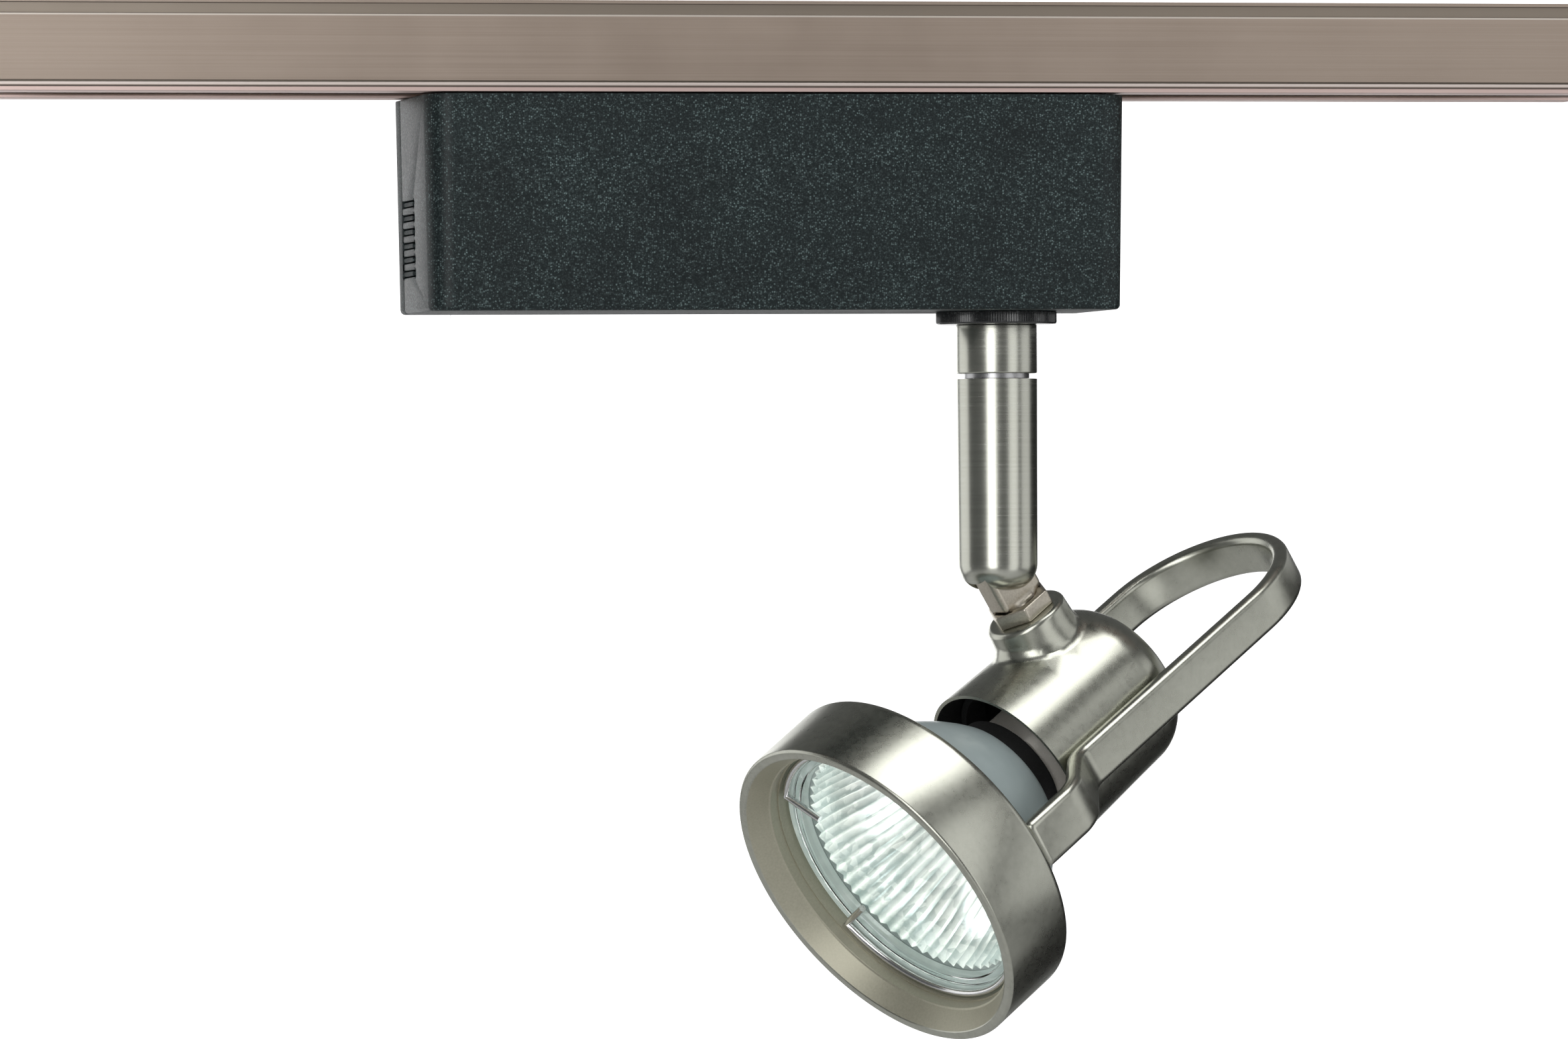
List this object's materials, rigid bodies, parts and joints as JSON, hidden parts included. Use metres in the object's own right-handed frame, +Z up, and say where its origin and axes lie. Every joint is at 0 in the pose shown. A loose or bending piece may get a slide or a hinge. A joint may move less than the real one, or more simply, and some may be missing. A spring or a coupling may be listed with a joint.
{
  "type": "track spotlight",
  "caption": "Low-voltage track spotlight: transformer box on a track section, swivel stem and a tilting lamp head with a loop handle.",
  "frame": {"origin": "centre of the track's top face, which screws to the ceiling", "axes": "+X along the track, +Y away from the front of the transformer box, +Z up to the ceiling"},
  "size_m": [0.276, 0.078, 0.1739],
  "materials": {
    "track_metal": "brushed satin, lacquered",
    "insulator_plastic": "matt",
    "copper": "drawn, bright",
    "textured_black_plastic": "spark-textured, satin",
    "dark_steel": "zinc plated",
    "adapter_plastic": "smooth moulded",
    "board_laminate": "solder-masked laminate",
    "ferrite": "matt",
    "winding_wire": "enamelled wire",
    "capacitor_case": "glossy dipped",
    "bare_aluminium": "extruded",
    "terminal_plastic": "moulded",
    "collar_plastic": "fine vertical reeding, glossy",
    "satin_nickel": "satin nickel plate",
    "bright_steel": "bright",
    "bare_knuckle_metal": "tumbled",
    "liner_black": "heat-proof black",
    "ceramic": "unglazed steatite",
    "mirror_glass": "fluted dichroic coating",
    "clear_glass": "clear",
    "burner_glass": "clear quartz, lit"
  },
  "bodies": {
    "track": {"track_channel": "track_metal", "track_insulator_front": "insulator_plastic", "track_insulator_rear": "insulator_plastic", "conductor_line": "copper", "conductor_neutral": "copper"},
    "housing": {"housing_front_shell": "textured_black_plastic", "housing_back_cover": "textured_black_plastic", "cover_screws": "dark_steel", "adapter_body": "adapter_plastic", "adapter_screws": "dark_steel", "ground_contact": "copper", "circuit_board": "board_laminate", "board_screws": "dark_steel", "transformer_core": "ferrite", "transformer_winding": "winding_wire", "capacitors": "capacitor_case", "heat_sink": "bare_aluminium", "power_transistors": "ferrite", "terminal_block": "terminal_plastic", "stem_collar": "collar_plastic", "stem_stub": "satin_nickel", "stem_washer": "dark_steel", "stem_nut": "dark_steel", "swivel_washer": "dark_steel", "swivel_nut": "dark_steel"},
    "track_lock": {"track_lock_rotor": "adapter_plastic", "contact_blades": "copper"},
    "stem": {"stem_tube": "satin_nickel", "pivot_pin": "bright_steel", "friction_washers": "bright_steel"},
    "head": {"knuckle_tongue": "bare_knuckle_metal", "knuckle_nut": "bare_knuckle_metal", "lamp_cap": "satin_nickel", "lamp_ring": "satin_nickel", "yoke_handle": "satin_nickel", "yoke_screws": "dark_steel", "cap_liner": "liner_black", "lampholder": "ceramic", "holder_bracket": "bright_steel", "holder_screws": "dark_steel"},
    "lamp": {"lamp_reflector": "mirror_glass", "lamp_front_glass": "clear_glass", "lamp_capsule": "burner_glass", "lamp_base": "ceramic", "lamp_pins": "bright_steel"},
    "clip": {"retaining_clip": "bright_steel"}
  },
  "joints": [
    {"name": "track_slide", "type": "slide", "parent": "track", "child": "housing", "axis": [1, 0, 0], "range_m": [-0.06, 0.07]},
    {"name": "track_lock_turn", "type": "hinge", "parent": "housing", "child": "track_lock", "pos_m": [-0.00735, 0, -0.0158], "axis": [0, 0, 1], "range_deg": [-90, 0]},
    {"name": "stem_swivel", "type": "hinge", "parent": "housing", "child": "stem", "pos_m": [0.0332, 0, -0.0628], "axis": [0, 0, 1], "range_deg": [-175, 175]},
    {"name": "head_tilt", "type": "hinge", "parent": "stem", "child": "head", "pos_m": [0.0332, 0, -0.0942], "axis": [0.4368, -0.8996, 0], "range_deg": [-34.6, 42]},
    {"name": "lamp_pull", "type": "slide", "parent": "head", "child": "lamp", "axis": [-0.7405, -0.3595, -0.5678], "range_m": [0, 0.06]},
    {"name": "clip_pull", "type": "slide", "parent": "lamp", "child": "clip", "axis": [-0.7405, -0.3595, -0.5678], "range_m": [0, 0.02]}
  ]
}
